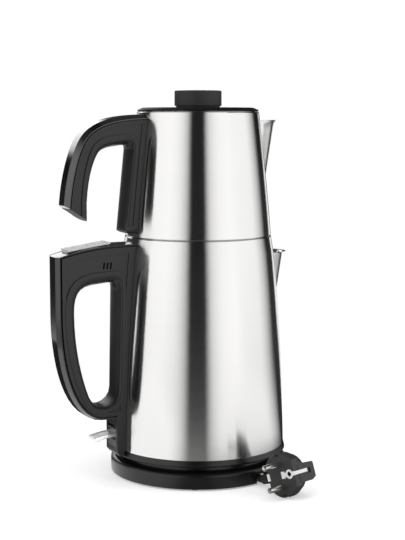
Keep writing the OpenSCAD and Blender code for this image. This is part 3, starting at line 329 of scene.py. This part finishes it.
# ---- Kettle's foot ----
# A black plastic collar round the shell's lower edge and an underside held by three screws;
# above them an aluminium plate spreads the heat of a sheathed element under the steel floor.
dress(base_black, "kettle_collar", "kettle_underside")
dress(zinc, "underside_screws")
dress(plated("aluminium_plate", shade=(0.72, 0.72, 0.74), roughness=0.4), "heat_spreader")
dress(plated("element_sheath", shade=(0.42, 0.39, 0.36), roughness=0.4), "heating_element")
dress(steel_inner, "thermostat_disc")


# ---- Handles ----
# Hollow mouldings of satin black plastic, screwed to brackets that are welded to the steel; a
# glossy cover of the same plastic closes the back of each one.
def soften(name, width, angle=32):
    """Rounds a moulding's edges where its faces turn by more than that angle, in degrees."""
    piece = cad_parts[name]
    joined = piece.modifiers.new("joined", "WELD")
    joined.merge_threshold = 0.00001
    flats = piece.modifiers.new("flats", "DECIMATE")
    flats.decimate_type = "DISSOLVE"
    flats.angle_limit = math.radians(0.6)
    edge = piece.modifiers.new("edge", "BEVEL")
    edge.width = width
    edge.segments = 2
    edge.limit_method = "ANGLE"
    edge.angle_limit = math.radians(angle)
    edge.miter_outer = "MITER_ARC"
    even = piece.modifiers.new("even", "WEIGHTED_NORMAL")
    even.weight = 80


dress(plastic("handle_black", shade=0.013, roughness=0.34, grains=1500, depth=0.00002),
      "kettle_handle", "teapot_handle")
dress(plastic("trim_black", shade=0.005, roughness=0.08, grains=1500, depth=0.000005, coat=0.6),
      "kettle_handle_spine")
dress(plastic("hood_black", shade=0.005, roughness=0.12, grains=1500, depth=0.000005, coat=1.0,
              ior=1.6), "teapot_handle_spine")
dress(steel_inner, "kettle_handle_bracket", "teapot_handle_bracket")
dress(zinc, "kettle_handle_screws", "teapot_handle_screws")
moulding_edge = 0.0006
cover_edge = 0.0003
cover_angle = 14
for handle in ("kettle_handle", "teapot_handle"):
    soften(handle, moulding_edge)
    soften(handle + "_spine", cover_edge, cover_angle)


# ---- Controls ----
# Two sprung keys of silver plastic in a silver frame on the handle's top, with a green circuit
# board and a sound unit under them; a clear lever tips the switch at the handle's foot.
def silver(name, shade, roughness):
    """Silver-lacquered plastic with fine metallic flakes."""
    material, finish = new_finish(name)
    flakes = finish.grain((2600, 2600, 2600), 2)
    finish.surface(Base_Color=finish.blend(flakes, tuple(c * 0.9 for c in shade), shade),
                   Metallic=0.2, Roughness=roughness + flakes * 0.1,
                   Normal=finish.relief(flakes, 0.0000003))
    return material


def clear_plastic(name, shade):
    """Frosted see-through plastic."""
    material, finish = new_finish(name)
    frost = finish.grain((700, 700, 700), 2)
    finish.surface(Base_Color=finish.blend(frost, tuple(c * 0.95 for c in shade), shade),
                   Roughness=0.25 + frost * 0.1, Transmission_Weight=0.8, IOR=1.12,
                   Normal=finish.relief(frost, 0.00001))
    return material


dress(silver("panel_silver", shade=(0.86, 0.86, 0.88), roughness=0.5), "control_panel")
dress(silver("key_silver", shade=(0.90, 0.90, 0.92), roughness=0.45),
      "panel_key_1", "panel_key_2")
dress(tinted("board_green", shade=(0.03, 0.16, 0.07), roughness=0.3), "control_board")
dress(socket_grey, "sound_unit")
dress(tinted("housing_grey", shade=(0.11, 0.11, 0.115), roughness=0.35), "switch_housing")
dress(clear_plastic("lever_clear", shade=(0.97, 0.975, 0.98)), "power_lever")
dress(zinc, "lever_pin")


# ---- Lid ----
# A satin black plastic plate that rests on the basket's rim, with a skirt that drops into the
# basket's neck, and a round knob held by a screw from below.
dress(plastic("lid_black", shade=0.009, roughness=0.35, grains=1500, depth=0.000005, shine=0.06),
      "lid_plate")
dress(base_black, "lid_skirt")
dress(plastic("knob_black", shade=0.030, roughness=0.55, grains=1500, depth=0.00001), "lid_knob")
dress(zinc, "lid_knob_screw")


# ---- Studio ----
# A white floor and white surroundings, lit by three soft lamps. Mirroring surfaces show light
# boxes at both sides and one high behind the object; overhead, between the boxes, behind the
# camera and straight behind the object they show dark.
towards = Vector((camera.location.x, camera.location.y, 0)).normalized()
across = Vector((-towards.y, towards.x, 0))
floor_behind = 4
floor_in_front = 0.32
floor_aside = 0.5
floor_corners = ((-floor_behind, -floor_aside), (floor_in_front, -floor_aside),
                 (floor_in_front, floor_aside), (-floor_behind, floor_aside))
floor_shape = bmesh.new()
floor_shape.faces.new([floor_shape.verts.new(ahead * towards + aside * across)
                       for ahead, aside in floor_corners])
floor_mesh = bpy.data.meshes.new("floor")
floor_shape.to_mesh(floor_mesh)
floor_shape.free()
floor = bpy.data.objects.new("floor", floor_mesh)
bpy.context.scene.collection.objects.link(floor)


def along(shader, vector, direction):
    """How far a vector reaches in a direction."""
    return shader.node("VectorMath", {"operation": "DOT_PRODUCT"}, {0: vector, 1: direction},
                       "Value")


def rise(shader, value, start, end):
    """Goes from 0 to 1 while a value goes from start to end, and stays there."""
    return shader.node("MapRange", {}, {"Value": value, "From Min": start, "From Max": end})


def white_light(shader, strength):
    return shader.node("Emission", {}, {"Color": (1, 1, 1, 1), "Strength": strength})


def in_sight(shader):
    """1 for what the camera sees, also through clear plastic, and 0 for other light."""
    return shader.node("LightPath", {}, {}, "Is Camera Ray") + shader.node(
        "LightPath", {}, {}, "Is Transmission Ray")


def round_of_light(shader, direction, stops):
    """Brightness in a direction, from stops that go once round the object."""
    flat = shader.node("VectorMath", {"operation": "MULTIPLY"}, {0: direction, 1: (1, 1, 0)})
    level = shader.node("VectorMath", {"operation": "NORMALIZE"}, {0: flat})
    ahead = along(shader, level, towards)
    aside = along(shader, level, across)
    swing = aside.maths("ARCTAN2", aside, ahead) / math.radians(360) + 0.5
    places = [((degrees + 180) / 360, brightness) for degrees, brightness in stops]
    return shader.node("ValToRGB", {"stops": places}, {"Fac": swing}, "Color")


# Each stop is a heading in degrees, 0 towards the camera and positive to its right, with the
# brightness there: the light boxes, what lies lower than them, the floor and the box behind
room_round = ((-180, 1.0), (-150, 1.0), (-144, 0.03), (-105, 0.03), (-98, 0.95), (-80, 1.15),
              (-48, 1.22), (-34, 1.12), (-27, 0.97), (-19, 0.66), (-11, 0.01), (10, 0.01),
              (15, 0.5), (19, 0.83), (27, 1.02), (35, 1.14), (50, 1.2), (98, 1.1), (105, 0.92),
              (112, 0.72), (118, 0.5), (124, 0.25), (129, 0.03), (148, 0.03), (152, 0.9),
              (155, 1.0), (180, 1.0))
table_round = ((-180, 0.5), (-25, 0.5), (-12, 0.1), (12, 0.1), (20, 0.6), (35, 1.0), (58, 1.05),
               (68, 0.38), (110, 0.36), (122, 0.1), (180, 0.08))
floor_round = ((-180, 1.0), (-150, 1.0), (-144, 0.03), (-105, 0.03), (-98, 0.95), (-80, 1.15),
               (-30, 1.1), (-20, 0.8), (-12, 0.32), (-7, 0.24), (8, 0.24), (13, 0.5), (25, 1.0),
               (98, 1.1), (112, 0.7), (124, 0.25), (129, 0.03), (148, 0.03), (152, 0.9),
               (180, 1.0))
back_round = ((-180, 0), (-174, 0), (-169, 1), (-140, 1), (-130, 0), (180, 0))

# The floor: matt paper that fades to plain white away from the object
paper_glow = 0.36
floor_white, paper = new_finish("floor_white")
fibres = paper.grain((300, 300, 300), 2)
seen = in_sight(paper)
matt = paper.node("BsdfDiffuse", {}, {"Color": paper.blend(fibres, (0.90, 0.90, 0.90),
                                                           (0.92, 0.92, 0.92))})
near = paper.node("AddShader", {}, {0: matt, 1: white_light(paper, paper_glow * seen)})
spot = paper.node("TexCoord", {}, {}, "Object")
away = paper.node("VectorMath", {"operation": "LENGTH"}, {0: spot}, "Value")
far = rise(paper, away, 0.2, 0.45)
in_view = paper.node("MixShader", {}, {0: far * seen, 1: near, 2: white_light(paper, 1.0)})

# The floor in mirroring surfaces: painted light, its round of light, with a painted shadow of
# the plug close by on the right
floor_strength = 0.95
plug_shadow_depth = 0.82
# Painted shadow of the plug: the mirrored floor darker to the right of the axis and within about
# 0.2 m of it
painted_plug_shadow = rise(paper, along(paper, spot, across), 0.0, 0.07) * rise(paper, away, 0.21, 0.15)
floor_level = floor_strength - painted_plug_shadow * plug_shadow_depth
in_gloss = white_light(paper, round_of_light(paper, spot, floor_round) * floor_level)
mirrored = paper.node("LightPath", {}, {}, "Is Glossy Ray")
paper.node("OutputMaterial", {}, {"Surface": paper.node("MixShader", {},
                                                        {0: mirrored, 1: in_view, 2: in_gloss})})
floor_mesh.materials.append(floor_white)

# The room in mirroring surfaces; lift is the height of a direction, facing is 1 towards the
# camera and -1 away from it
overhead_loss = 0.9
behind_loss = 0.95
back_strength = 2.0
world = bpy.data.worlds.new("studio")
bpy.context.scene.world = world
world.use_nodes = True
room = Finish(world.node_tree)
heading = room.node("TexCoord", {}, {}, "Generated")
lift = room.node("SeparateXYZ", {}, {"Vector": heading}, "Z")
facing = along(room, heading, towards)
overhead = rise(room, lift, 0.4, 0.7)
low = rise(room, lift, -0.14, -0.22)
boxes = room.blend(low, round_of_light(room, heading, room_round),
                   round_of_light(room, heading, table_round))
behind = rise(room, facing, -0.5, -0.75) * rise(room, lift, 0.0, 0.1)
straight = rise(room, facing, -0.93, -0.97) * rise(room, lift, -0.16, -0.13)
dark = behind.maths("MAXIMUM", behind, straight) * rise(room, lift, 0.8, 0.6)
boxes = room.blend(behind_loss * dark, boxes, (0, 0, 0))
back_box = round_of_light(room, heading, back_round) * rise(room, lift, 0.18, 0.22)
back_box *= rise(room, lift, 0.65, 0.5)
in_mirrors = boxes - overhead_loss * overhead * boxes + back_strength * back_box

# The room itself: plain white in sight, and an even light on everything
room_light = 0.55
mirror = room.node("LightPath", {}, {}, "Is Glossy Ray")
plain = in_sight(room)
shown = mirror * in_mirrors + plain
lit = mirror.maths("MAXIMUM", 1 - mirror - plain, 0.0)
room.node("OutputWorld", {}, {"Surface": room.node("Background", {}, {
    "Color": (1, 1, 1, 1), "Strength": shown + lit * room_light})})


def soft_lamp(name, place, target, width, height, power):
    """A lamp with a wide rectangular face, which mirroring surfaces don't show."""
    lamp = bpy.data.lights.new(name, "AREA")
    lamp.shape, lamp.size, lamp.size_y, lamp.energy = "RECTANGLE", width, height, power
    box = bpy.data.objects.new(name, lamp)
    box.location = place
    box.rotation_euler = (Vector(target) - Vector(place)).to_track_quat("-Z", "Y").to_euler()
    box.visible_glossy = False
    bpy.context.scene.collection.objects.link(box)


soft_lamp("light_left", (-1.5, -0.5, 1.1), (0, 0, 0.15), width=1.2, height=1.6, power=9)
soft_lamp("light_right", (1.1, -1.1, 1.2), (0, 0, 0.15), width=1.2, height=1.6, power=9)
soft_lamp("light_top", (0, 0.2, 1.9), (0, 0, 0.1), width=1.6, height=1.6, power=8)
